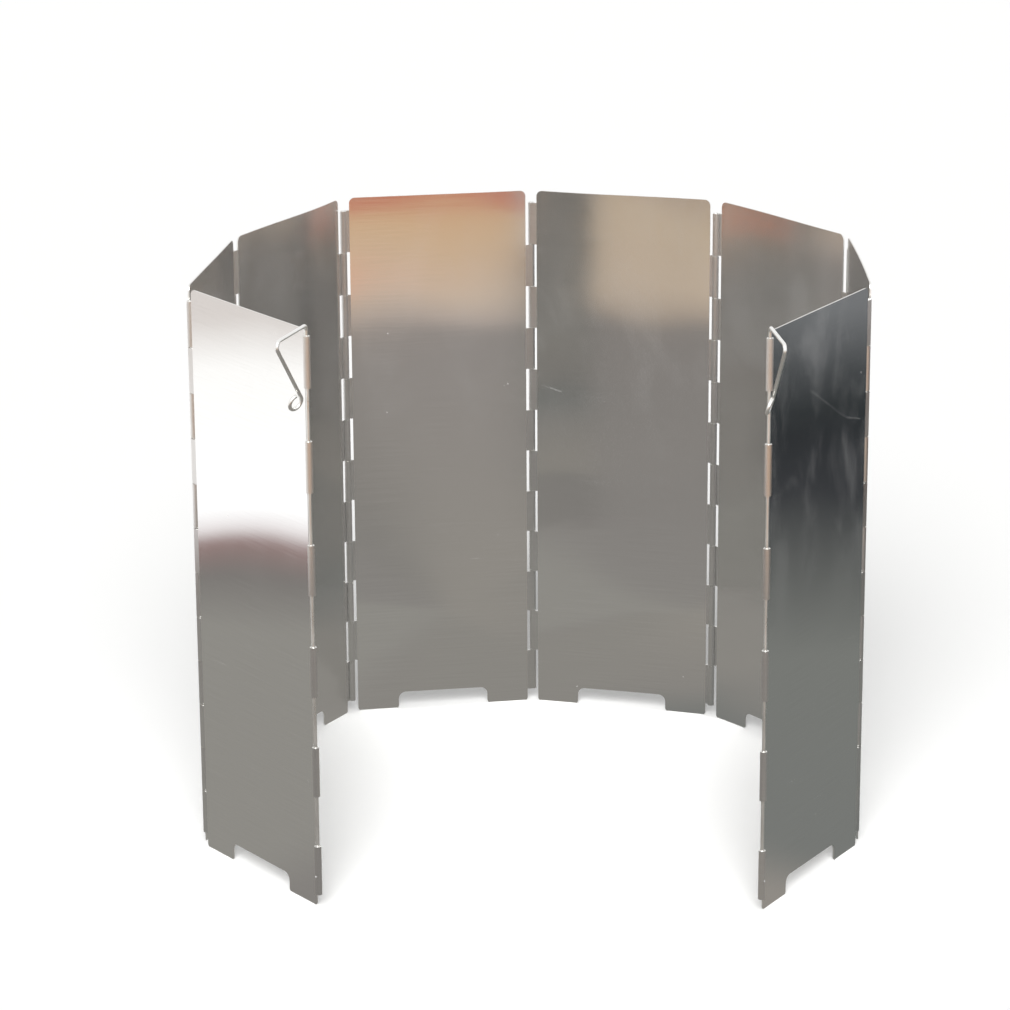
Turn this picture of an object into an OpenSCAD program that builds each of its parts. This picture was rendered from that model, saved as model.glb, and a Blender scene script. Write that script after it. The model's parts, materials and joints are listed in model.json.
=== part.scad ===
// Folding stove windscreen: eight sheet plates hinged on wire pins, stood up as an open ring.
// Each plate is one stamped blank whose side edges are cut into tabs and rolled into knuckles.
// The rolls alternate between the inner and the outer face, so the plates fold up like a concertina.
// A bent wire turns in the rolled edge of each end plate and clips over the folded stack.

/* [Plates] */
// Height of a plate from the ground to its top edge
plate_h = 240; // [180:1:300]
// Distance along a plate between the axes of its two rolled edges
plate_pitch = 84; // [70:1:110]
// Thickness of the aluminium sheet
sheet_t = 0.6; // [0.4:0.05:0.8]
// Radius of the top corners
top_corner_r = 2.5; // [1:0.1:5]

/* [Feet] */
// Width of each of the two feet of a plate
foot_w = 18.7; // [12:0.1:24]
// Height of the air notch between the two feet
notch_h = 7.8; // [6:0.1:14]
// Radius of the lower corners of the feet
foot_corner_r = 1.6; // [0.5:0.1:2.5]
// Radius of the upper corners of the air notch
notch_corner_r = 3.2; // [1:0.1:3.4]

/* [Hinges] */
// Diameter of the hinge pins
pin_d = 1.5; // [1.2:0.1:2.4]
// Radial clearance of a wire in its knuckles
wire_clearance = 0.06; // [0.02:0.01:0.09]
// Distance from a hinge axis to the straight plate edge beside it
edge_setback = 2.8; // [2.6:0.1:4]
// Number of knuckles on one hinge, both plates together
hinge_slots = 12; // [6:1:14]
// Plain length of the edge above and below a row of hinge knuckles
hinge_margin = 5.5; // [4:0.1:10]
// Gap between the ends of neighbouring knuckles
knuckle_gap = 0.3; // [0.3:0.05:0.6]
// Angle that an edge is rolled through
roll_angle = 300; // [270:1:305]
// Distance of each end of a pin inside the row of knuckles
pin_inset = 0.5; // [0.2:0.1:2]
// Chamfer on the ends of a pin
pin_chamfer = 0.3; // [0.1:0.05:0.5]

/* [Free edges] */
// Number of equal steps along a free edge, knuckles and gaps in turn
free_slots = 11; // [7:2:13]
// Plain length of a free edge above its knuckles
free_margin_top = 2; // [1.5:0.1:6]
// Plain length of a free edge below its knuckles
free_margin_bottom = 6; // [4:0.1:12]
// Height of the crimp mark above the lower end of the lowest knuckle
crimp_height = 8.2; // [5:0.1:12]
// Radius of the punch that made the crimp mark
crimp_punch_r = 1; // [0.6:0.1:1.4]
// Depth of the crimp mark
crimp_depth = 0.3; // [0.1:0.05:0.35]

/* [Clip wires] */
// Diameter of the clip wires
clip_d = 1.5; // [1.2:0.1:2.4]
// Height of the middle of a clip's arm above the top edge of its plate
arm_rise = 2.2; // [1.6:0.1:5]
// Reach of an arm from the axis of its free edge
arm_len = 27; // [20:0.5:36]
// Radius of the bends at both ends of an arm
clip_bend_r = 2.2; // [1.5:0.1:4]
// Loss of wire diameter where the wire is bent
bend_thinning = 0.04; // [0.02:0.01:0.1]
// Slant of the leg back towards its free edge, from upright
leg_slant = 41; // [10:1:45]
// Length of the straight part of the leg
leg_len = 31; // [15:0.5:34]
// Radius of the curl at the end of the leg
curl_r = 3; // [2.4:0.1:5]
// Angle that the curl is bent through
curl_angle = 300; // [180:1:300]
// Turn of the curl about the leg, out of the plane of the clip
curl_turn = 28; // [0:1:60]
// Distance of the lower end of a clip inside the lowest knuckle
clip_inset = 0.6; // [0.2:0.1:3]

/* [Standing shape] */
// Direction of the front left plate, from its free edge
first_heading = 128; // [90:0.5:150]
// Bend between the front left and the left plate
front_left_bend = 47; // [0:0.5:90]
// Bend between the left and the rear left plate
left_bend = 21; // [0:0.5:90]
// Bend between the rear left and the centre left plate
rear_left_bend = 51; // [0:0.5:90]
// Bend between the two centre plates
centre_bend = 24; // [0:0.5:90]
// Bend between the centre right and the rear right plate
rear_right_bend = 37.5; // [0:0.5:90]
// Bend between the rear right and the right plate
right_bend = 36; // [0:0.5:90]
// Bend between the right and the front right plate
front_right_bend = 34.5; // [0:0.5:90]
// Angle between the left clip's arm and its plate
left_clip_angle = 121; // [40:1:200]
// Angle between the right clip's arm and its plate
right_clip_angle = 139; // [40:1:200]

/* [Hidden] */

$fn = 48;
corner_steps = 6;

sheet_colour = [0.70, 0.70, 0.69];
steel_colour = [0.52, 0.51, 0.50];

// Bore, roll and set-off of a rolled edge, from the wire that it holds
function bore_r(wire_d) = wire_d / 2 + wire_clearance;
function roll_r(wire_d) = bore_r(wire_d) + sheet_t;
function set_off(wire_d) = bore_r(wire_d) + sheet_t / 2;

// A rolled edge is [wire diameter, steps, length above, length below, first own step, face],
// where face is 1 for a roll on the outer face and -1 for one on the inner face
function hinge_edge(first, face) = [pin_d, hinge_slots, hinge_margin, hinge_margin, first, face];
free_edge = [clip_d, free_slots, free_margin_top, free_margin_bottom, 0, 1];

// A plate's left edge holds the odd knuckles of its hinge, counted from the top, and its right
// edge the even ones. The faces alternate from hinge to hinge, starting from the left free edge.
last_plate = 7;
function hinge_face(k) = k % 2 == 0 ? 1 : -1;
function left_edge(k) = k == 0 ? free_edge : hinge_edge(0, hinge_face(k));
function right_edge(k) = k == last_plate ? free_edge : hinge_edge(1, hinge_face(k + 1));

// Steps of a rolled edge, counted from the top, and the heights of a knuckle on one
function step_h(edge) = (plate_h - edge[2] - edge[3]) / edge[1];
function own_steps(edge) = [for (i = [edge[4] : 2 : edge[1] - 1]) i];
function knuckle_top(edge, i) = plate_h - edge[2] - i * step_h(edge) - knuckle_gap / 2;
function knuckle_len(edge) = step_h(edge) - knuckle_gap;
function axis_y(edge) = edge[5] * set_off(edge[0]);

// Plan of the standing screen: each plate's direction, and the axis of each rolled edge in turn
bends = [
    front_left_bend, left_bend, rear_left_bend, centre_bend,
    rear_right_bend, right_bend, front_right_bend
];
function heading(k) = k == 0 ? first_heading : heading(k - 1) - bends[k - 1];
function turned(p, a) = [p.x * cos(a) - p.y * sin(a), p.x * sin(a) + p.y * cos(a)];
function plate_span(k) = [plate_pitch, axis_y(right_edge(k)) - axis_y(left_edge(k))];
function axis_at(k) = k == 0 ? [0, 0] : axis_at(k - 1) + turned(plate_span(k - 1), heading(k - 1));
axes = [for (k = [0 : last_plate + 1]) axis_at(k)];

// The origin lies on the ground under the middle of the standing screen, clips included
left_arm_heading = heading(0) + left_clip_angle;
right_arm_heading = heading(last_plate) + 180 - right_clip_angle;
arm_tips = [
    axes[0] + turned([arm_len, 0], left_arm_heading),
    axes[last_plate + 1] + turned([arm_len, 0], right_arm_heading)
];
east = max([for (p = axes) p.x]) + roll_r(pin_d);
west = min([for (p = axes) p.x]) - roll_r(pin_d);
north = max([for (p = axes) p.y]) + roll_r(pin_d);
south = min([for (p = arm_tips) p.y]) - clip_d / 2;
middle = [east + west, north + south] / 2;

// Points along a round corner, from angle a to angle b
function arc(centre, r, a, b) =
    [for (i = [0 : corner_steps]) centre + turned([r, 0], a + (b - a) * i / corner_steps)];

// Tabs that are rolled into knuckles: down the left edge, and up the right edge
function left_tabs(edge) = [
    for (i = own_steps(edge))
        let (top = knuckle_top(edge, i), low = top - knuckle_len(edge))
            each [[edge_setback, top], [0, top], [0, low], [edge_setback, low]]
];
function right_tabs(edge) =
    let (down = left_tabs(edge), last = len(down) - 1)
        [for (i = [0 : last]) [plate_pitch - down[last - i].x, down[last - i].y]];

// Outline of the stamped blank of plate k: x along the plate, y up
function blank(k) =
    let (
        left = edge_setback,
        right = plate_pitch - edge_setback,
        left_r = min(top_corner_r, left_edge(k)[2]),
        right_r = min(top_corner_r, right_edge(k)[2]),
        foot_in = foot_w - foot_corner_r,
        notch_in = foot_w + notch_corner_r,
        notch_mid = notch_h - notch_corner_r
    ) concat(
        arc([left + left_r, plate_h - left_r], left_r, 90, 180),
        left_tabs(left_edge(k)),
        arc([left + foot_corner_r, foot_corner_r], foot_corner_r, 180, 270),
        arc([left + foot_in, foot_corner_r], foot_corner_r, 270, 360),
        arc([left + notch_in, notch_mid], notch_corner_r, 180, 90),
        arc([right - notch_in, notch_mid], notch_corner_r, 90, 0),
        arc([right - foot_in, foot_corner_r], foot_corner_r, 180, 270),
        arc([right - foot_corner_r, foot_corner_r], foot_corner_r, 270, 360),
        right_tabs(right_edge(k)),
        arc([right - right_r, plate_h - right_r], right_r, 0, 90)
    );

// One knuckle: the end of a tab rolled round its wire. The roll starts where the tab ends, below
// the axis, and runs away from the plate first.
module roll(edge) {
    rotate([0, 0, -90])
        rotate_extrude(angle = roll_angle)
            translate([bore_r(edge[0]), 0])
                square([sheet_t, knuckle_len(edge)]);
}

// Row of knuckles on one edge, standing on its axis, with the plate on the left of it
module rolls(edge) {
    for (i = own_steps(edge))
        translate([0, 0, knuckle_top(edge, i) - knuckle_len(edge)])
            mirror([0, edge[5] > 0 ? 0 : 1, 0])
                roll(edge);
}

// Dent that a round punch leaves in the outer face of the lowest knuckle of a free edge
module crimp() {
    lowest = knuckle_top(free_edge, free_slots - 1) - knuckle_len(free_edge);
    reach = roll_r(clip_d) + crimp_punch_r - crimp_depth;
    translate([0, reach, lowest + crimp_height])
        sphere(r = crimp_punch_r);
}

// Plate k lying along x from the axis of its left edge, with its outer face towards +y
module plate(k) {
    difference() {
        union() {
            translate([0, sheet_t / 2, 0])
                rotate([90, 0, 0])
                    linear_extrude(sheet_t)
                        polygon(blank(k));
            translate([0, axis_y(left_edge(k)), 0])
                mirror([1, 0, 0])
                    rolls(left_edge(k));
            translate([plate_pitch, axis_y(right_edge(k)), 0])
                rolls(right_edge(k));
        }
        if (k == 0)
            translate([0, axis_y(free_edge), 0])
                crimp();
        if (k == last_plate)
            translate([plate_pitch, axis_y(free_edge), 0])
                crimp();
    }
}

// Puts what is drawn from the axis of plate k's left edge where that plate stands
module stand(k) {
    translate(concat(axes[k] - middle, 0))
        rotate([0, 0, heading(k)])
            translate([0, -axis_y(left_edge(k)), 0])
                children();
}

module panel(k) {
    color(sheet_colour)
        stand(k)
            plate(k);
}

// Pin of the hinge between plate k and the next, with chamfered ends
module pin(k) {
    r = pin_d / 2;
    low = hinge_margin + pin_inset;
    high = plate_h - low;
    color(steel_colour)
        translate(axes[k + 1] - middle)
            rotate_extrude()
                polygon([
                    [0, low], [r - pin_chamfer, low], [r, low + pin_chamfer],
                    [r, high - pin_chamfer], [r - pin_chamfer, high], [0, high]
                ]);
}

// Bend of the clip wire in the upright plane of the clip
module wire_bend(r, from, angle) {
    rotate([90, 0, 0])
        rotate([0, 0, from])
            rotate_extrude(angle = angle)
                translate([r, 0])
                    circle(d = clip_d - bend_thinning);
}

// Clip wire standing on the axis of a free edge, with its arm along x
module clip_wire() {
    arm_z = plate_h + arm_rise;
    bend_z = arm_z - clip_bend_r;
    arm_end = arm_len - clip_bend_r;
    foot_z = free_margin_bottom + clip_inset;
    translate([0, 0, foot_z])
        cylinder(d = clip_d, h = bend_z - foot_z);
    translate([clip_bend_r, 0, bend_z])
        wire_bend(clip_bend_r, 90, 90);
    translate([clip_bend_r, 0, arm_z])
        rotate([0, 90, 0])
            cylinder(d = clip_d, h = arm_end - clip_bend_r);
    translate([arm_end, 0, bend_z]) {
        wire_bend(clip_bend_r, -leg_slant, 90 + leg_slant);
        rotate([0, 180 + leg_slant, 0])
            translate([-clip_bend_r, 0, 0]) {
                cylinder(d = clip_d, h = leg_len);
                translate([0, 0, leg_len])
                    rotate([0, 0, curl_turn])
                        translate([-curl_r, 0, 0])
                            wire_bend(curl_r, 0, curl_angle);
            }
    }
}

module clip(at, arm_heading) {
    color(steel_colour)
        translate(at - middle)
            rotate([0, 0, arm_heading])
                clip_wire();
}

module front_left_panel() { panel(0); }
module left_panel() { panel(1); }
module rear_left_panel() { panel(2); }
module centre_left_panel() { panel(3); }
module centre_right_panel() { panel(4); }
module rear_right_panel() { panel(5); }
module right_panel() { panel(6); }
module front_right_panel() { panel(7); }
module front_left_pin() { pin(0); }
module left_pin() { pin(1); }
module rear_left_pin() { pin(2); }
module centre_pin() { pin(3); }
module rear_right_pin() { pin(4); }
module right_pin() { pin(5); }
module front_right_pin() { pin(6); }
module left_clip_wire() { clip(axes[0], left_arm_heading); }
module right_clip_wire() { clip(axes[last_plate + 1], right_arm_heading); }

front_left_panel();
left_panel();
rear_left_panel();
centre_left_panel();
centre_right_panel();
rear_right_panel();
right_panel();
front_right_panel();
front_left_pin();
left_pin();
rear_left_pin();
centre_pin();
rear_right_pin();
right_pin();
front_right_pin();
left_clip_wire();
right_clip_wire();
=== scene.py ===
import json
import math

import bmesh
import bpy
import numpy as np
from mathutils import Matrix, Vector

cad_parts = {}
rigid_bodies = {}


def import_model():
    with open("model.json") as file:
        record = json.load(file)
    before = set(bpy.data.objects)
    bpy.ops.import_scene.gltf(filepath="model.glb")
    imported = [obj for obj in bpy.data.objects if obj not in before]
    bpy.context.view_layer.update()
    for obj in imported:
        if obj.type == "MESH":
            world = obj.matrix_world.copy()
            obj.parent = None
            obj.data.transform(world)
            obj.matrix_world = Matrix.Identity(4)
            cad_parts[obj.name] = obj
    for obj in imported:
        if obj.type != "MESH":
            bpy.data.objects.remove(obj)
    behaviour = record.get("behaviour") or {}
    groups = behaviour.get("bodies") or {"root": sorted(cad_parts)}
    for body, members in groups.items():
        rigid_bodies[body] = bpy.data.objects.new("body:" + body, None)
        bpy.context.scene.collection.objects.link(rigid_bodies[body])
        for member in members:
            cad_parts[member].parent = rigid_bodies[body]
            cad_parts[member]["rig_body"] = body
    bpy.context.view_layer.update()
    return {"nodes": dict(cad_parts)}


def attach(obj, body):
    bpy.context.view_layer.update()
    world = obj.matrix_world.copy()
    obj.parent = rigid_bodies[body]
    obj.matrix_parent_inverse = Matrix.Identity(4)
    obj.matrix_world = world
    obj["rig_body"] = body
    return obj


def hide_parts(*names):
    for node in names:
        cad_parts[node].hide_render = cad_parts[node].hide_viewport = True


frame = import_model()
scene = bpy.context.scene
scene.view_settings.view_transform = "Standard"
mm = 0.001


def linear(hexColour):
    # sRGB hex value to linear RGBA
    srgb = np.array([int(hexColour[i:i + 2], 16) for i in (1, 3, 5)]) / 255
    rgb = np.where(srgb <= 0.04045, srgb / 12.92, ((srgb + 0.055) / 1.055) ** 2.4)
    return (*rgb.tolist(), 1.0)


def addNode(tree, kind, values=None, links=None, **settings):
    # settings are the node's own options, values and links go to its inputs
    node = tree.nodes.new(kind)
    for name, value in settings.items():
        setattr(node, name, value)
    for name, value in (values or {}).items():
        node.inputs[name].default_value = value
    for name, socket in (links or {}).items():
        tree.links.new(socket, node.inputs[name])
    return node


# most values of a noise texture lie between these
noiseSpan = {"From Min": 0.3, "From Max": 0.7}


def newMaterial(name):
    material = bpy.data.materials.new(name)
    material.use_nodes = True
    material.node_tree.nodes.clear()
    return material, material.node_tree


# Camera: long lens, a little above the screen, as the photograph was taken
view = {
    "at": (-6.47, -1513.28, 618.48),                     # mm
    "yaw": -0.1368, "pitch": 17.6524, "roll": -0.3662,   # degrees, the pitch downwards
    "lens": 135.97, "sensor": 36.0, "nearest": 10.0,     # mm
}
yaw, pitch, roll = (math.radians(view[key]) for key in ("yaw", "pitch", "roll"))
forward = np.array([math.sin(yaw) * math.cos(pitch), math.cos(yaw) * math.cos(pitch), -math.sin(pitch)])
right = np.array([math.cos(yaw), -math.sin(yaw), 0.0])
up = np.cross(right, forward)
pose = np.eye(4)
pose[:3, 0] = math.cos(roll) * right + math.sin(roll) * up
pose[:3, 1] = math.cos(roll) * up - math.sin(roll) * right
pose[:3, 2] = -forward
pose[:3, 3] = np.array(view["at"]) * mm
cameraData = bpy.data.cameras.new("camera")
cameraData.lens = view["lens"]
cameraData.sensor_width = view["sensor"]
cameraData.clip_start = view["nearest"] * mm
camera = bpy.data.objects.new("camera", cameraData)
scene.collection.objects.link(camera)
camera.matrix_world = Matrix(pose.tolist())
scene.camera = camera


# Rolled aluminium sheet, mill finish: the rollers leave fine level lines, so it mirrors softly and the
# mirror image is drawn out sideways; handling adds hazy smears, slanting hairlines and specks of dust,
# which scatter light. Its map is in mm: across, each plate starts at the next whole pitch, and upwards
# it is the height
rolled = {
    "metal": "#f3f3f3", "lineDark": "#e9e9e8", "dust": "#f2f1ee",
    "roughness": (0.092, 0.118), "smearRough": 0.04, "rolledEdge": 0.36, "stretch": 1.0,
    "haze": 0.085, "mark": 0.32,                                 # how much bare metal a smear or mark hides
    "mapPitch": 200.0,
    "lineWidth": 0.5, "lineLength": 30.0, "lineDepth": 0.0012,   # drawn wider than real, to show
    "smearSize": 42.0, "smearDrawn": (1.5, 0.8, 1.0),
    "handled": (95.0, 190.0),                                    # heights where smears start and are full
    "lastPlate": (1300.0, 1390.0), "wiping": (0.45, 1.3),        # its edge, and the smears before and on it
    "speckSpacing": 9.0, "speckEdge": (0.05, 0.025), "speckless": 0.7,
    "hairWidth": 0.3, "hairLength": 26.0, "hairSlant": -24.0,
    "smearShows": (0.44, 0.76), "hairShows": (0.78, 0.85),       # noise levels where they start and are full
    # scratches seen in the photograph: from, to, half width in mm of the map, and strength
    "scratches": (
        ((804.5, 151.0), (810.0, 149.7), 0.3, 0.25),
        ((809.0, 150.0), (814.0, 148.6), 0.5, 0.5),
        ((1449.6, 208.6), (1435.5, 200.0), 0.4, 0.25),
        ((1435.5, 200.0), (1418.8, 190.0), 0.4, 0.15),
        ((1418.8, 190.0), (1407.3, 186.7), 0.4, 0.35),
    ),
}


def smearsOn(tree, sheet, place):
    # soft clouds, drawn upright by wiping, on the upper part where the plates are handled
    drawnUp = addNode(tree, "ShaderNodeMapping", {"Scale": rolled["smearDrawn"]}, {"Vector": sheet})
    noise = addNode(
        tree, "ShaderNodeTexNoise",
        {"Scale": 1 / (rolled["smearSize"] * mm), "Detail": 4.0, "Roughness": 0.62, "Distortion": 0.5},
        {"Vector": drawnUp.outputs[0]})
    low, high = rolled["smearShows"]
    clouds = addNode(tree, "ShaderNodeMapRange", {"From Min": low, "From Max": high},
                     {"Value": noise.outputs["Fac"]}, interpolation_type="SMOOTHSTEP")
    low, high = rolled["handled"]
    handled = addNode(tree, "ShaderNodeMapRange", {"From Min": low * mm, "From Max": high * mm},
                      {"Value": place.outputs["Y"]}, interpolation_type="SMOOTHSTEP")
    # the front right plate, the last on the map, was wiped most
    low, high = rolled["lastPlate"]
    weak, strong = rolled["wiping"]
    wiping = addNode(tree, "ShaderNodeMapRange",
                     {"From Min": low * mm, "From Max": high * mm, "To Min": weak, "To Max": strong},
                     {"Value": place.outputs["X"]})
    dirty = addNode(tree, "ShaderNodeMath", None, {0: clouds.outputs[0], 1: wiping.outputs[0]},
                    operation="MULTIPLY")
    smears = addNode(tree, "ShaderNodeMath", None, {0: dirty.outputs[0], 1: handled.outputs[0]},
                     operation="MULTIPLY")
    return smears.outputs[0]


def marksOn(tree, sheet):
    # specks: small discs round the points of a scattered grid, on some cells only
    cells = addNode(tree, "ShaderNodeTexVoronoi", {"Scale": 1 / (rolled["speckSpacing"] * mm)},
                    {"Vector": sheet})
    low, high = rolled["speckEdge"]
    disc = addNode(tree, "ShaderNodeMapRange", {"From Min": low, "From Max": high},
                   {"Value": cells.outputs["Distance"]})
    chosen = addNode(tree, "ShaderNodeMath", {1: rolled["speckless"]}, {0: cells.outputs["Color"]},
                     operation="GREATER_THAN")
    speck = addNode(tree, "ShaderNodeMath", None, {0: disc.outputs[0], 1: chosen.outputs[0]},
                    operation="MULTIPLY")
    # hairlines: only the crests of a strongly stretched, slanting noise
    across, along = 1 / (rolled["hairWidth"] * mm), 1 / (rolled["hairLength"] * mm)
    slant = addNode(tree, "ShaderNodeMapping",
                    {"Rotation": (0, 0, math.radians(rolled["hairSlant"])), "Scale": (along, across, 1)},
                    {"Vector": sheet})
    noise = addNode(tree, "ShaderNodeTexNoise", {"Scale": 1.0, "Detail": 1.0},
                    {"Vector": slant.outputs[0]})
    low, high = rolled["hairShows"]
    hair = addNode(tree, "ShaderNodeMapRange", {"From Min": low, "From Max": high},
                   {"Value": noise.outputs["Fac"]})
    marks = addNode(tree, "ShaderNodeMath", None, {0: speck.outputs[0], 1: hair.outputs[0]},
                    operation="MAXIMUM")
    # a scratch fades with the distance from the nearest point of its line
    for start, end, width, strength in rolled["scratches"]:
        first = Vector((*start, 0)) * mm
        run = Vector((end[0] - start[0], end[1] - start[1], 0)) * mm
        offset = addNode(tree, "ShaderNodeVectorMath", {1: first}, {0: sheet}, operation="SUBTRACT")
        share = addNode(tree, "ShaderNodeVectorMath", {1: run / run.length_squared},
                        {0: offset.outputs[0]}, operation="DOT_PRODUCT")
        share = addNode(tree, "ShaderNodeClamp", None, {0: share.outputs["Value"]})
        nearest = addNode(tree, "ShaderNodeVectorMath", {0: run}, {"Scale": share.outputs[0]},
                          operation="SCALE")
        apart = addNode(tree, "ShaderNodeVectorMath", None,
                        {0: offset.outputs[0], 1: nearest.outputs[0]}, operation="DISTANCE")
        line = addNode(tree, "ShaderNodeMapRange",
                       {"From Min": width * mm, "From Max": 0.0, "To Max": strength},
                       {"Value": apart.outputs["Value"]})
        marks = addNode(tree, "ShaderNodeMath", None, {0: marks.outputs[0], 1: line.outputs[0]},
                        operation="MAXIMUM")
    return marks.outputs[0]


def makeRolledAluminium():
    material, tree = newMaterial("rolled aluminium, mill finish")
    sheet = addNode(tree, "ShaderNodeUVMap", uv_map="sheetMap").outputs["UV"]
    place = addNode(tree, "ShaderNodeSeparateXYZ", None, {0: sheet})
    across, along = 1 / (rolled["lineWidth"] * mm), 1 / (rolled["lineLength"] * mm)
    stretched = addNode(tree, "ShaderNodeMapping", {"Scale": (along, across, 1)}, {"Vector": sheet})
    lines = addNode(tree, "ShaderNodeTexNoise", {"Scale": 1.0, "Detail": 2.0, "Roughness": 0.5},
                    {"Vector": stretched.outputs[0]})
    smears = smearsOn(tree, sheet, place)
    marks = marksOn(tree, sheet)
    tint = addNode(tree, "ShaderNodeMix", {6: linear(rolled["lineDark"]), 7: linear(rolled["metal"])},
                   {0: lines.outputs["Fac"]}, data_type="RGBA")
    colour = addNode(tree, "ShaderNodeMix", {7: linear(rolled["dust"])}, {0: marks, 6: tint.outputs[2]},
                     data_type="RGBA")
    # bare metal is 1; a smear takes a little from it and a speck, hairline or scratch more
    hazed = addNode(tree, "ShaderNodeMath", {1: -rolled["haze"], 2: 1.0}, {0: smears},
                    operation="MULTIPLY_ADD")
    bare = addNode(tree, "ShaderNodeMath", {1: -rolled["mark"]}, {0: marks, 2: hazed.outputs[0]},
                   operation="MULTIPLY_ADD")
    low, high = rolled["roughness"]
    grainRough = addNode(tree, "ShaderNodeMapRange", {**noiseSpan, "To Min": low, "To Max": high},
                         {"Value": lines.outputs["Fac"]})
    flatRough = addNode(tree, "ShaderNodeMath", {1: rolled["smearRough"]},
                        {0: smears, 2: grainRough.outputs[0]}, operation="MULTIPLY_ADD")
    # the rolling tool scuffs the knuckles, which lie to both sides of a plate's flat part on the map
    mapPitch, flatMiddle = rolled["mapPitch"], plate["pitch"] / 2
    flatHalf = flatMiddle - plate["setback"]
    inPlate = addNode(tree, "ShaderNodeMath", {1: 1 / (mapPitch * mm)}, {0: place.outputs["X"]},
                      operation="MULTIPLY")
    inPlate = addNode(tree, "ShaderNodeMath", None, {0: inPlate.outputs[0]}, operation="FRACT")
    onFlat = addNode(tree, "ShaderNodeMath", {1: flatMiddle / mapPitch, 2: flatHalf / mapPitch},
                     {0: inPlate.outputs[0]}, operation="COMPARE")
    rough = addNode(tree, "ShaderNodeMix", {2: rolled["rolledEdge"]},
                    {0: onFlat.outputs[0], 3: flatRough.outputs[0]})
    bump = addNode(tree, "ShaderNodeBump", {"Strength": 1.0, "Distance": rolled["lineDepth"] * mm},
                   {"Height": lines.outputs["Fac"]})
    tangent = addNode(tree, "ShaderNodeTangent", direction_type="UV_MAP", uv_map="sheetMap")
    shader = addNode(tree, "ShaderNodeBsdfPrincipled", {"Anisotropic": rolled["stretch"]},
                     {"Base Color": colour.outputs[2], "Metallic": bare.outputs[0],
                      "Roughness": rough.outputs[0], "Normal": bump.outputs[0],
                      "Tangent": tangent.outputs[0]})
    addNode(tree, "ShaderNodeOutputMaterial", None, {"Surface": shader.outputs[0]})
    return material


# Sheared edge of the same sheet: the shear leaves a bright, rougher band with a torn grain
sheared = {"bright": "#f2f1ee", "dull": "#dcdad6", "roughness": 0.36, "tearSize": 0.4, "tearDepth": 0.01}


def makeShearedEdge():
    material, tree = newMaterial("sheared aluminium edge")
    place = addNode(tree, "ShaderNodeTexCoord").outputs["Object"]
    tears = addNode(tree, "ShaderNodeTexNoise", {"Scale": 1 / (sheared["tearSize"] * mm), "Detail": 2.0},
                    {"Vector": place})
    tint = addNode(tree, "ShaderNodeMix", {6: linear(sheared["dull"]), 7: linear(sheared["bright"])},
                   {0: tears.outputs["Fac"]}, data_type="RGBA")
    bump = addNode(tree, "ShaderNodeBump", {"Strength": 0.6, "Distance": sheared["tearDepth"] * mm},
                   {"Height": tears.outputs["Fac"]})
    shader = addNode(tree, "ShaderNodeBsdfPrincipled", {"Metallic": 1.0, "Roughness": sheared["roughness"]},
                     {"Base Color": tint.outputs[2], "Normal": bump.outputs[0]})
    addNode(tree, "ShaderNodeOutputMaterial", None, {"Surface": shader.outputs[0]})
    return material


# Drawn steel wire, bright: the die leaves lines along the wire, and the zinc flash dulls it in patches
drawn = {
    "metal": "#f8f8f6", "dull": "#e4e3df", "roughness": (0.26, 0.36),
    "lineWidth": 0.16, "lineLength": 9.0, "lineDepth": 0.002, "patch": 14.0,   # mm
}


def makeDrawnWire():
    material, tree = newMaterial("drawn steel wire, bright")
    wire = addNode(tree, "ShaderNodeUVMap", uv_map="wireMap").outputs["UV"]
    across, along = 1 / (drawn["lineWidth"] * mm), 1 / (drawn["lineLength"] * mm)
    stretched = addNode(tree, "ShaderNodeMapping", {"Scale": (across, along, 1)}, {"Vector": wire})
    lines = addNode(tree, "ShaderNodeTexNoise", {"Scale": 1.0, "Detail": 2.0},
                    {"Vector": stretched.outputs[0]})
    patches = addNode(tree, "ShaderNodeTexNoise", {"Scale": 1 / (drawn["patch"] * mm), "Detail": 1.0},
                      {"Vector": wire})
    tint = addNode(tree, "ShaderNodeMix", {6: linear(drawn["dull"]), 7: linear(drawn["metal"])},
                   {0: patches.outputs["Fac"]}, data_type="RGBA")
    low, high = drawn["roughness"]
    rough = addNode(tree, "ShaderNodeMapRange", {**noiseSpan, "To Min": low, "To Max": high},
                    {"Value": patches.outputs["Fac"]})
    bump = addNode(tree, "ShaderNodeBump", {"Strength": 0.4, "Distance": drawn["lineDepth"] * mm},
                   {"Height": lines.outputs["Fac"]})
    shader = addNode(tree, "ShaderNodeBsdfPrincipled", {"Metallic": 1.0},
                     {"Base Color": tint.outputs[2], "Roughness": rough.outputs[0],
                      "Normal": bump.outputs[0]})
    addNode(tree, "ShaderNodeOutputMaterial", None, {"Surface": shader.outputs[0]})
    return material


def gridFaces(rows, columns, start=0):
    # corner numbers of a rows x columns grid of points, counted row by row
    first = start + np.arange(rows - 1)[:, None] * columns + np.arange(columns - 1)[None, :]
    return np.stack([first, first + 1, first + columns + 1, first + columns], -1).reshape(-1, 4)


def arcPoints(x, z, r, start, end, steps=6):
    # points round a centre from one angle to another, in degrees
    a = np.radians(np.linspace(start, end, steps + 1))
    return np.stack([x + r * np.cos(a), z + r * np.sin(a)], 1)


def placed(local, heading, axis):
    # points turned about the upright by a heading, then moved to an axis
    c, s = math.cos(heading), math.sin(heading)
    return local @ np.array([[c, s, 0], [-s, c, 0], [0, 0, 1]]) + [*axis, 0]


mergeWithin = 0.002   # mm


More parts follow.
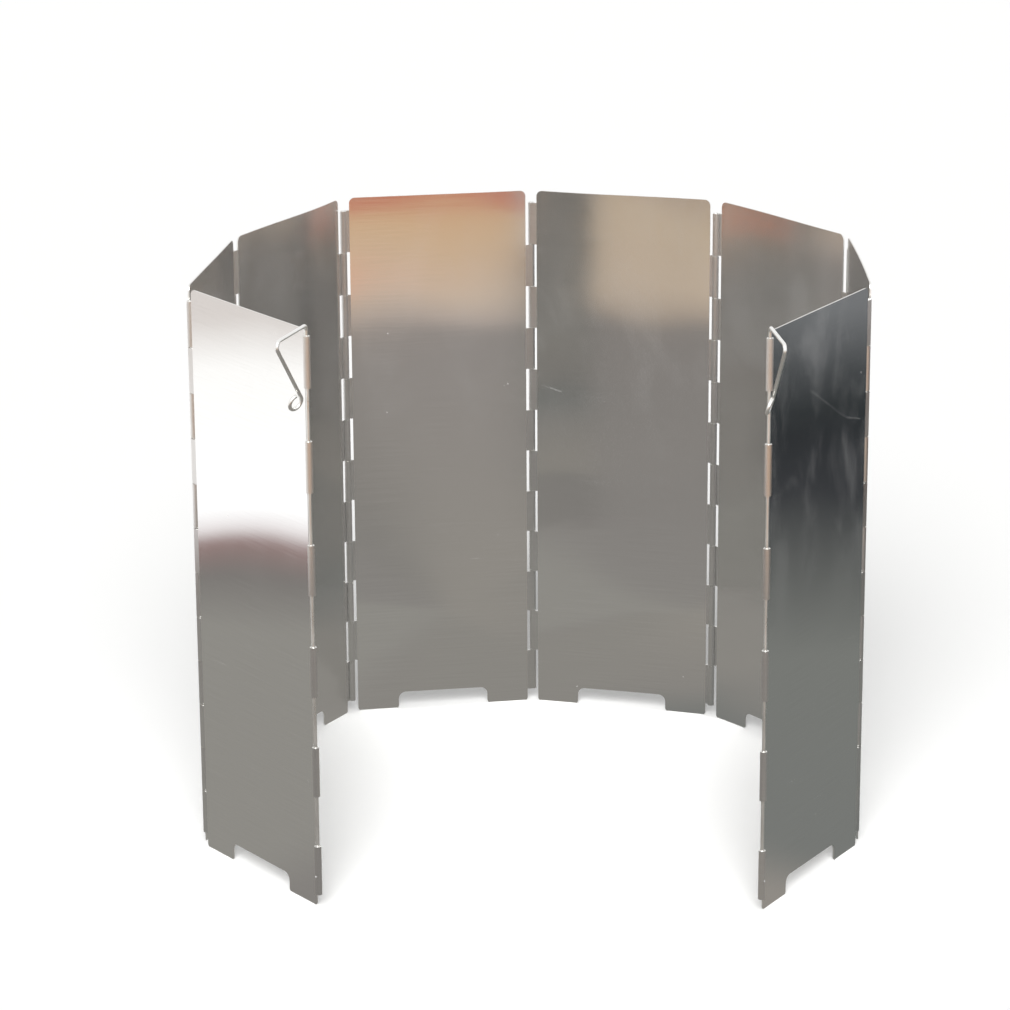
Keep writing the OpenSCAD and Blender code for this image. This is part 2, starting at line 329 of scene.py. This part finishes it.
def surfaceObject(name, points, faces, uv, uvName, materials):
    # grids become one mesh: points in mm, edges that meet are merged
    mesh = bpy.data.meshes.new(name)
    mesh.from_pydata((points * mm).tolist(), [], faces.tolist())
    layer = mesh.uv_layers.new(name=uvName)
    layer.data.foreach_set("uv", (uv[faces.reshape(-1)] * mm).reshape(-1))
    work = bmesh.new()
    work.from_mesh(mesh)
    bmesh.ops.remove_doubles(work, verts=work.verts, dist=mergeWithin * mm)
    work.to_mesh(mesh)
    work.free()
    for material in materials:
        mesh.materials.append(material)
    mesh.shade_smooth()
    piece = bpy.data.objects.new(name, mesh)
    scene.collection.objects.link(piece)
    return piece


def standFor(piece, node):
    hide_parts(node)
    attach(piece, frame["nodes"][node]["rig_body"])


# Sizes in mm and angles in degrees. The standing plan needs those of the plates, edges and clips
plate = {
    "height": 240.0, "pitch": 84.0, "sheet": 0.6, "topCorner": 2.5, "setback": 2.8,
    "footWidth": 18.7, "notchHeight": 7.8, "footCorner": 1.6, "notchCorner": 3.2,
    "footPoints": 7, "notchPoints": 7,
    "rollRadius": 1.11, "rollTurn": 300.0, "rollLead": 1.4, "rollSteps": 30, "gap": 0.3,
    "rows": (12.0, 236.0, 6.0), "topRows": (235.0, 238.0), "footEnd": 18.0, "crownStart": 225.0,
    "climb": 0.35, "sharpAngle": 22.0,
    # ripples: depth of all, height over which they grow from the ground, and for each one its strength,
    # its height over 2 pi, its slant, its shift from plate to plate and its start, in radians
    "wave": 0.07, "waveFrom": 40.0,
    "ripples": ((1.0, 24.0, 0.0, 1.7, 0.0), (0.7, 13.0, 3.0, 2.3, 0.0), (0.8, 41.0, -4.0, 0.9, math.pi / 2)),
    # how far each plate bulges outwards in its middle, at foot and top
    "bow": ((0.1, 0.3), (0.0, 0.0), (0.6, -0.75), (0.0, -0.4),
            (0.75, -0.3), (1.0, 0.5), (0.35, 0.55), (0.0, 0.0)),
    # how far each plate swings out and back across, at foot and top
    "swing": ((0.1, 0.0), (0.0, 0.0), (0.0, 0.5), (0.1, 0.05),
              (-0.15, -0.5), (0.4, 0.35), (0.0, 0.0), (0.0, 0.0)),
}
hingeEdge = {"steps": 12, "above": 5.5, "below": 5.5}
freeEdge = {
    "steps": 11, "above": 2.0, "below": 6.0,
    "dentAt": 14.35, "dentSize": 0.8, "dentDepth": 0.3, "dentRows": (-1.2, 1.2, 17),
}
clip = {
    "radius": 0.75, "foot": 6.6, "rise": 2.2, "reach": 27.0, "bend": 2.2, "slant": 41.0, "leg": 31.0,
    "curl": 3.0, "curlTurn": 300.0, "curlLean": 28.0, "endRound": 0.3,
    "uprightSteps": 12, "firstBendSteps": 10, "armPoints": 5, "secondBendSteps": 14,
    "legSteps": 7, "curlSteps": 40,
    # rounded end: shares of the wire's radius, and of the rounding, at which each comes
    "endRadii": (0.0, 0.62, 0.88), "endPlaces": (0.0, 0.12, 0.45),
}

# Standing plan: the direction of each plate and the axis of each rolled edge
standing = {
    "firstHeading": 128.0, "bends": (47.0, 21.0, 51.0, 24.0, 37.5, 36.0, 34.5),
    "clipAngles": (121.0, 139.0),   # between a clip's arm and its plate, left and right
}
plateCount = len(standing["bends"]) + 1
lastPlate = plateCount - 1
faceOf = np.where(np.arange(plateCount + 1) % 2 == 0, 1.0, -1.0)   # 1: the edge is rolled on the outer face
headings = np.radians(standing["firstHeading"] - np.concatenate([[0], np.cumsum(standing["bends"])]))
spans = np.stack([np.full(plateCount, plate["pitch"]), plate["rollRadius"] * np.diff(faceOf)], 1)
turnedSpans = np.stack([spans[:, 0] * np.cos(headings) - spans[:, 1] * np.sin(headings),
                        spans[:, 0] * np.sin(headings) + spans[:, 1] * np.cos(headings)], 1)
axes = np.concatenate([[[0, 0]], np.cumsum(turnedSpans, 0)])
armHeadings = (headings[0] + math.radians(standing["clipAngles"][0]),
               headings[lastPlate] + math.pi - math.radians(standing["clipAngles"][1]))
armTipY = [axes[edge, 1] + clip["reach"] * math.sin(a) for edge, a in zip((0, -1), armHeadings)]
outerRoll = plate["rollRadius"] + plate["sheet"] / 2
lowest = min(armTipY) - clip["radius"]
middle = [(axes[:, 0].max() + axes[:, 0].min()) / 2, (axes[:, 1].max() + outerRoll + lowest) / 2]
axes = axes - middle


def knuckles(edge, first):
    # lower end and top of every second step down an edge
    step = (plate["height"] - edge["above"] - edge["below"]) / edge["steps"]
    tops = plate["height"] - edge["above"] - step * np.arange(first, edge["steps"], 2) - plate["gap"] / 2
    return np.stack([tops - step + plate["gap"], tops], 1)


def rowLevels(tabs, dented):
    # heights of the rows, so that every knuckle starts and ends on one, and closer ones at a punch mark
    marks = [[plate["footCorner"], plate["topRows"][1]], tabs[0].ravel(), tabs[1].ravel(),
             np.arange(*plate["rows"])]
    if dented:
        marks.append(freeEdge["dentAt"] + np.linspace(*freeEdge["dentRows"]))
    return np.unique(np.round(np.concatenate(marks), 4))


def footOutline():
    # lower outline of a plate: a foot and half of the notch from the left, then the same mirrored
    corner, inner, notchTop = (plate[key] for key in ("footCorner", "notchCorner", "notchHeight"))
    footLeft = plate["setback"]
    footRight = footLeft + plate["footWidth"]
    sole = np.linspace(footLeft + corner, footRight - corner, plate["footPoints"] + 2)[1:-1]
    roof = np.linspace(footRight + inner, plate["pitch"] / 2, plate["notchPoints"] + 1)[1:]
    half = np.concatenate([
        arcPoints(footLeft + corner, corner, corner, 180, 270),
        np.stack([sole, np.zeros(len(sole))], 1),
        arcPoints(footRight - corner, corner, corner, 270, 360),
        arcPoints(footRight + inner, notchTop - inner, inner, 180, 90),
        np.stack([roof, np.full(len(roof), notchTop)], 1),
    ])
    return np.concatenate([half, (half * [-1, 1] + [plate["pitch"], 0])[-2::-1]])


def plateGrid(k, levels, corners):
    # Plate: rows carried from the outline of the feet up to the outline of the top corners, so
    # point(row, column) = mix of the two outlines. Columns are spaced by the way along the feet, where a
    # climb counts less. Depth = ripples that die out at both edges, a bow that is highest in the middle,
    # and a swing of one sine wave across
    left, right, top = plate["setback"], plate["pitch"] - plate["setback"], plate["height"]
    low = footOutline()
    run = np.concatenate([[0], np.cumsum(np.abs(np.diff(low, axis=0)) @ [1, plate["climb"]])])
    share = run / run[-1]
    spread = left + (right - left) * share
    leftArc = arcPoints(left + corners[0], top - corners[0], corners[0], 180, 90)
    rightArc = arcPoints(right - corners[1], top - corners[1], corners[1], 90, 0)
    level = spread[len(leftArc):-len(rightArc)]
    crown = np.concatenate([leftArc, np.stack([level, np.full(len(level), top)], 1), rightArc])
    # the last row ends where the corner of its side begins
    first, last = plate["topRows"]
    sides = np.stack([np.interp(levels, [0, first, last], [0, first, top - corner]) for corner in corners])
    footCorner, footEnd, crownStart = plate["footCorner"], plate["footEnd"], plate["crownStart"]
    fromFoot = np.clip((levels - footCorner) / (footEnd - footCorner), 0, 1)[:, None]
    rise = np.clip((sides - crownStart) / (top - np.array(corners)[:, None] - crownStart), 0, 1)
    toCrown = rise[0][:, None] * (1 - share) + rise[1][:, None] * share
    u = (1 - fromFoot) * low[:, 0] + fromFoot * spread + toCrown * (crown[:, 0] - spread)
    body = np.clip(levels, footEnd, crownStart)[:, None]
    z = np.where(fromFoot < 1, (1 - fromFoot) * low[:, 1] + fromFoot * footEnd,
                 (1 - toCrown) * body + toCrown * crown[:, 1])
    ripple = sum(strength * np.sin(z / height + slant * share + shift * k + start)
                 for strength, height, slant, shift, start in plate["ripples"])
    y = plate["wave"] * ripple * np.sin(math.pi * share) ** 1.5 * np.clip(z / plate["waveFrom"], 0, 1)
    y = y + np.interp(z, [0, top], plate["bow"][k]) * 4 * share * (1 - share)
    y = y + np.interp(z, [0, top], plate["swing"][k]) * np.sin(2 * math.pi * share)
    return u, y, z, u   # on the flat part, the place across the blank is u itself


def knuckleGrid(k, side, edge, rows):
    # Knuckle: the profile of a rolled tab, a straight lead and then a circle round the wire, carried
    # upright. With each point goes its place across the flat blank
    radius, lead, setback = plate["rollRadius"], plate["rollLead"], plate["setback"]
    out, edgeX, flatEnd = ((-1, 0.0, setback), (1, plate["pitch"], plate["pitch"] - setback))[side]
    face = faceOf[k + side]
    turn = np.radians(np.linspace(0, plate["rollTurn"], plate["rollSteps"] + 1))
    profileX = edgeX + out * np.concatenate([[-setback, -lead], radius * np.sin(turn)])
    profileY = face * np.concatenate([[0, 0], radius - radius * np.cos(turn)])
    across = flatEnd + out * np.concatenate([[0, setback - lead], setback + radius * turn])
    if side == 0:
        profileX, profileY, across = profileX[::-1], profileY[::-1], across[::-1]
    x, z = np.meshgrid(profileX, rows)
    y = np.broadcast_to(profileY, x.shape)
    if edge is freeEdge:
        # punch mark: points near it sink towards the wire
        off = np.hypot(x - edgeX, z - edge["dentAt"]) / edge["dentSize"]
        sink = edge["dentDepth"] * np.clip(1 - off ** 2, 0, 1) ** 1.5 * (y * face > radius)
        y = y - face * sink
    return x, y, z, np.broadcast_to(across, x.shape)


def sheetSurface(k):
    # the grids of a plate and of its knuckles, joined, mapped and put in their place
    isFree = (k == 0, k == lastPlate)
    edges = [freeEdge if free else hingeEdge for free in isFree]
    tabs = (knuckles(edges[0], 0), knuckles(edges[1], 0 if isFree[1] else 1))
    levels = rowLevels(tabs, any(isFree))
    grids = [plateGrid(k, levels, [min(plate["topCorner"], edge["above"]) for edge in edges])]
    for side in (0, 1):
        for low, high in tabs[side]:
            rows = levels[(levels > low - mergeWithin / 2) & (levels < high + mergeWithin / 2)]
            grids.append(knuckleGrid(k, side, edges[side], rows))
    points, faces, uv, count = [], [], [], 0
    for x, y, z, across in grids:
        points.append(np.stack([x, y, z], -1).reshape(-1, 3))
        uv.append(np.stack([across + rolled["mapPitch"] * k, z], -1).reshape(-1, 2))
        faces.append(gridFaces(*x.shape, count))
        count += x.size
    local = np.concatenate(points)
    local[:, 1] -= plate["rollRadius"] * faceOf[k]
    return placed(local, headings[k], axes[k]), np.concatenate(faces), np.concatenate(uv)


def thicken(piece):
    # the sheet gets its thickness, half to each side, with the sheared finish on its rim
    shell = piece.modifiers.new("sheet", "SOLIDIFY")
    shell.thickness = plate["sheet"] * mm
    shell.offset = 0.0
    shell.material_offset_rim = 1
    done = bpy.data.meshes.new_from_object(piece.evaluated_get(bpy.context.evaluated_depsgraph_get()))
    piece.modifiers.clear()
    piece.data = done
    done.shade_smooth()
    done.set_sharp_from_angle(angle=math.radians(plate["sharpAngle"]))


rolledAluminium = makeRolledAluminium()
shearedEdge = makeShearedEdge()
drawnWire = makeDrawnWire()
print("materials: rolled aluminium, sheared edge, drawn wire")

plateNames = ("front_left", "left", "rear_left", "centre_left",
              "centre_right", "rear_right", "right", "front_right")
for k, name in enumerate(plateNames):
    sheet = surfaceObject(name + "_sheet", *sheetSurface(k), "sheetMap", (rolledAluminium, shearedEdge))
    thicken(sheet)
    standFor(sheet, name + "_panel")
print("plates:", len(plateNames), "rolled sheets")


# Hinge pins, in mm; the bevel stands between the end face and the side of a chamfer
pin = {"radius": 0.75, "low": 6.0, "high": 234.0, "chamfer": 0.3, "bevel": 0.09, "sharpAngle": 50.0}
ringTurn = np.linspace(0, 2 * math.pi, 25)   # once round a wire, the last point on the first


def turnedWire(centre):
    # Straight wire: a profile of radius and height turned once round its upright axis
    r, low, high, cut, bevel = (pin[key] for key in ("radius", "low", "high", "chamfer", "bevel"))
    profile = [(0, low), (r - cut, low), (r - bevel, low + bevel), (r, low + cut),
               (r, high - cut), (r - bevel, high - bevel), (r - cut, high), (0, high)]
    radius, height = np.array(profile).T
    x = centre[0] + radius[:, None] * np.cos(ringTurn)
    y = centre[1] + radius[:, None] * np.sin(ringTurn)
    z = np.broadcast_to(height[:, None], x.shape)
    uv = np.stack([np.broadcast_to(ringTurn * r, x.shape), z], -1)
    return np.stack([x, y, z], -1).reshape(-1, 3), gridFaces(*x.shape), uv.reshape(-1, 2)


pinNames = ("front_left", "left", "rear_left", "centre", "rear_right", "right", "front_right")
for k, name in enumerate(pinNames):
    wire = surfaceObject(name + "_hinge_wire", *turnedWire(axes[k + 1]), "wireMap", (drawnWire,))
    wire.data.set_sharp_from_angle(angle=math.radians(pin["sharpAngle"]))
    standFor(wire, name + "_pin")
print("pins:", len(pinNames), "hinge wires")


def clipPath():
    # Middle line of a clip: upright, bend, arm, bend and slanting leg in one plane, then a curl that leans
    # out of it; with each point goes the side b that its bend turns about
    bend, slant, lean = clip["bend"], math.radians(clip["slant"]), math.radians(clip["curlLean"])
    armZ = plate["height"] + clip["rise"]
    bendZ, armEnd = armZ - bend, clip["reach"] - bend
    legWay = np.array([-math.sin(slant), 0, -math.cos(slant)])
    legSide = np.array([-math.cos(slant), 0, math.sin(slant)])
    sideways = np.array([0.0, 1.0, 0.0])
    legStart = np.array([armEnd + bend * math.cos(slant), 0, bendZ - bend * math.sin(slant)])
    uprightZ = np.linspace(clip["foot"], bendZ, clip["uprightSteps"] + 1)[:-1]
    upright = np.stack([np.zeros(len(uprightZ)), uprightZ], 1)
    firstBend = arcPoints(bend, bendZ, bend, 180, 90, clip["firstBendSteps"])
    armX = np.linspace(bend, armEnd, clip["armPoints"] + 2)[1:-1]
    arm = np.stack([armX, np.full(len(armX), armZ)], 1)
    secondBend = arcPoints(armEnd, bendZ, bend, 90, -clip["slant"], clip["secondBendSteps"])
    flat = np.concatenate([upright, firstBend, arm, secondBend])
    flat = np.stack([flat[:, 0], np.zeros(len(flat)), flat[:, 1]], 1)
    legShare = np.linspace(0, 1, clip["legSteps"] + 1)[1:]
    leg = legStart + clip["leg"] * legShare[:, None] * legWay
    inward = -math.cos(lean) * legSide - math.sin(lean) * sideways
    a = np.radians(np.linspace(0, clip["curlTurn"], clip["curlSteps"] + 1))[1:, None]
    curl = leg[-1] + clip["curl"] * (inward * (1 - np.cos(a)) + legWay * np.sin(a))
    turnBy = lean * np.concatenate([np.zeros(len(flat)), legShare, np.ones(len(curl))])[:, None]
    return np.concatenate([flat, leg, curl]), -np.sin(turnBy) * legSide + np.cos(turnBy) * sideways


def bentWire(axis, heading):
    # Clip: a round profile carried along the path; the frame at each point is its direction t, the side
    # of the bend b, and n = b x t
    path, b = clipPath()
    t = np.gradient(path, axis=0)
    t /= np.linalg.norm(t, axis=1)[:, None]
    n = np.cross(b, t)
    n /= np.linalg.norm(n, axis=1)[:, None]
    b = np.cross(t, n)
    # rounded ends: the radius closes over the last bit of wire
    ease = clip["radius"] * np.array(clip["endRadii"])
    out = clip["endRound"] * np.array(clip["endPlaces"])
    radius = np.concatenate([ease, np.full(len(path), clip["radius"]), ease[::-1]])
    headPath = path[0] + out[:, None] * t[0]
    tailPath = (path[-1] - out[:, None] * t[-1])[::-1]
    path = np.concatenate([headPath, path[:1] + clip["endRound"] * t[0], path[1:-1],
                           path[-1:] - clip["endRound"] * t[-1], tailPath])
    n = np.concatenate([np.repeat(n[:1], len(ease), 0), n, np.repeat(n[-1:], len(ease), 0)])
    b = np.concatenate([np.repeat(b[:1], len(ease), 0), b, np.repeat(b[-1:], len(ease), 0)])
    ring = np.cos(ringTurn)[None, :, None] * n[:, None, :] + np.sin(ringTurn)[None, :, None] * b[:, None, :]
    local = (path[:, None, :] + radius[:, None, None] * ring).reshape(-1, 3)
    length = np.concatenate([[0], np.cumsum(np.linalg.norm(np.diff(path, axis=0), axis=1))])
    uv = np.stack(np.meshgrid(ringTurn * clip["radius"], length), -1).reshape(-1, 2)
    return placed(local, heading, axis), gridFaces(len(path), len(ringTurn)), uv


for name, edge, heading in zip(("left", "right"), (0, -1), armHeadings):
    wire = surfaceObject(name + "_clip_bent_wire", *bentWire(axes[edge], heading), "wireMap", (drawnWire,))
    standFor(wire, name + "_clip_wire")
print("clips: 2 bent wires")


# Studio: matt white floor and even light from above
studio = {
    "floor": "#fbfbfa", "floorRough": 0.9,
    "floorSize": 6000.0, "grain": 2.0, "grainDepth": 0.02,   # mm
    "sky": 0.42, "keyFrom": (-0.06, -1.0, 0.86), "keySpread": 34.0, "keyPower": 3.0,
}


def makeMattFloor():
    material, tree = newMaterial("matt white floor")
    place = addNode(tree, "ShaderNodeTexCoord").outputs["Object"]
    grain = addNode(tree, "ShaderNodeTexNoise", {"Scale": 1 / (studio["grain"] * mm)}, {"Vector": place})
    bump = addNode(tree, "ShaderNodeBump", {"Strength": 0.1, "Distance": studio["grainDepth"] * mm},
                   {"Height": grain.outputs["Fac"]})
    shader = addNode(
        tree, "ShaderNodeBsdfPrincipled",
        {"Base Color": linear(studio["floor"]), "Roughness": studio["floorRough"],
         "Specular IOR Level": 0.0},
        {"Normal": bump.outputs[0]})
    addNode(tree, "ShaderNodeOutputMaterial", None, {"Surface": shader.outputs[0]})
    return material


def card(name, corners, material):
    # one flat face through its corners, in mm
    mesh = bpy.data.meshes.new(name)
    mesh.from_pydata((np.array(corners, float) * mm).tolist(), [], [list(range(len(corners)))])
    mesh.materials.append(material)
    piece = bpy.data.objects.new(name, mesh)
    scene.collection.objects.link(piece)
    return piece


size = studio["floorSize"] / 2
card("floor", [(-size, -size, 0), (size, -size, 0), (size, size, 0), (-size, size, 0)], makeMattFloor())

# the sky is white to look at and in the metal, and lights the floor at its own strength
world = bpy.data.worlds.new("white studio")
world.use_nodes = True
tree = world.node_tree
tree.nodes.clear()
rays = addNode(tree, "ShaderNodeLightPath")
seen = rays.outputs["Is Camera Ray"]
for ray in ("Is Glossy Ray", "Is Transmission Ray"):
    either = addNode(tree, "ShaderNodeMath", None, {0: seen, 1: rays.outputs[ray]}, operation="MAXIMUM")
    seen = either.outputs[0]
strength = addNode(tree, "ShaderNodeMix", {2: studio["sky"], 3: 1.0}, {0: seen})
sky = addNode(tree, "ShaderNodeBackground", {"Color": (1, 1, 1, 1)}, {"Strength": strength.outputs[0]})
addNode(tree, "ShaderNodeOutputWorld", None, {"Surface": sky.outputs[0]})
scene.world = world

# one broad, distant lamp from the front and above, so that the floor is lit evenly and is shaded behind
# the screen
keyData = bpy.data.lights.new("key", "SUN")
keyData.angle = math.radians(studio["keySpread"])
keyData.energy = studio["keyPower"]
key = bpy.data.objects.new("key", keyData)
key.rotation_euler = Vector(studio["keyFrom"]).to_track_quat("Z", "Y").to_euler()
scene.collection.objects.link(key)

# Painted reflection, which the metal mirrors: a grey table top and the room round it, drawn on one disc
# that glows with their colours and that only the metal sees. Each side of the room has its direction in
# degrees, the cosines between which it fades in, its brightness, and its colours outwards by radius in mm;
# a later side lies over the ones before it
room = {
    "radius": 1200.0, "height": 0.3, "discSteps": 48,
    # front left, which lies under all the sides
    "under": (
        (0, "#8f8c88"), (540, "#8b8682"), (572, "#b5a697"), (620, "#cbb9a5"), (800, "#c8b59e"),
        (900, "#b5a28f")),
    "sides": (
        # right half
        (0, (-0.2, 0.2), 1.0, (
            (0, "#9a968f"), (524, "#98928e"), (556, "#bcafa6"), (620, "#d2bfac"), (845, "#d9b68e"),
            (859, "#ca7a62"), (905, "#ca7a62"), (950, "#bda890"))),
        # straight in front, a narrow salmon strip
        (270, (0.99, 0.997), 1.25, (
            (0, "#7c7a76"), (450, "#7b7772"), (605, "#a8937c"), (630, "#f49872"), (695, "#fb8f68"),
            (750, "#cfae94"))),
        # behind
        (90, (0.7, 0.95), 1.0, (
            (0, "#94918b"), (500, "#8f8d89"), (600, "#c9c6c1"), (900, "#dddbd7"))),
        # bright window to the left
        (170, (0.6, 0.85), 1.35, (
            (0, "#84827d"), (400, "#85837e"), (475, "#726f6c"), (524, "#86706d"), (548, "#dcd7d7"),
            (580, "#f4f4f4"), (860, "#f0efed"), (980, "#cac4c0"))),
        # painted shade to the right, a dark corner of the room
        (20, (0.45, 0.75), 1.0, (
            (0, "#9a968f"), (105, "#918e89"), (142, "#7e807d"), (350, "#7f817d"), (600, "#3c3e41"),
            (700, "#313437"), (760, "#34383a"), (840, "#4b4e50"), (1000, "#7b7d7f"))),
    ),
}


def roomColours(tree, share, stops, glow=1.0):
    # colours outwards from the middle of the disc, by the share of its radius
    ramp = addNode(tree, "ShaderNodeValToRGB", None, {0: share})
    while len(ramp.color_ramp.elements) < len(stops):
        ramp.color_ramp.elements.new(0.5)
    for element, (position, colour) in zip(ramp.color_ramp.elements, stops):
        element.position = position / room["radius"]
        element.color = [glow * part for part in linear(colour)]
    return ramp.outputs[0]


def makePaintedRoomReflection():
    material, tree = newMaterial("painted room reflection")
    place = addNode(tree, "ShaderNodeTexCoord").outputs["Object"]
    distance = addNode(tree, "ShaderNodeVectorMath", None, {0: place}, operation="LENGTH")
    share = addNode(tree, "ShaderNodeMath", {1: 1 / (room["radius"] * mm)}, {0: distance.outputs["Value"]},
                    operation="MULTIPLY").outputs[0]
    direction = addNode(tree, "ShaderNodeVectorMath", None, {0: place}, operation="NORMALIZE").outputs[0]
    mixed = roomColours(tree, share, room["under"])
    for azimuth, (fadeFrom, fadeTo), glow, stops in room["sides"]:
        towards = (math.cos(math.radians(azimuth)), math.sin(math.radians(azimuth)), 0)
        facing = addNode(tree, "ShaderNodeVectorMath", {1: towards}, {0: direction},
                         operation="DOT_PRODUCT")
        fade = addNode(tree, "ShaderNodeMapRange", {"From Min": fadeFrom, "From Max": fadeTo},
                       {"Value": facing.outputs["Value"]}, interpolation_type="SMOOTHSTEP")
        colours = roomColours(tree, share, stops, glow)
        mixed = addNode(tree, "ShaderNodeMix", None, {0: fade.outputs[0], 6: mixed, 7: colours},
                        data_type="RGBA").outputs[2]
    # painted reflection: the disc glows with the room's colours, though it is no lamp
    emit = addNode(tree, "ShaderNodeEmission", {"Strength": 1.0}, {"Color": mixed})
    addNode(tree, "ShaderNodeOutputMaterial", None, {"Surface": emit.outputs[0]})
    return material


# the glowing disc of painted reflection, just above the floor; only mirrored rays see it
ringPoints = arcPoints(0, 0, room["radius"], 0, 360, room["discSteps"])[:-1]
disc = card("painted_room_reflection", [(x, y, room["height"]) for x, y in ringPoints], makePaintedRoomReflection())
disc.visible_camera = disc.visible_diffuse = disc.visible_shadow = False
print("studio: floor, sky, key lamp and painted room reflection")
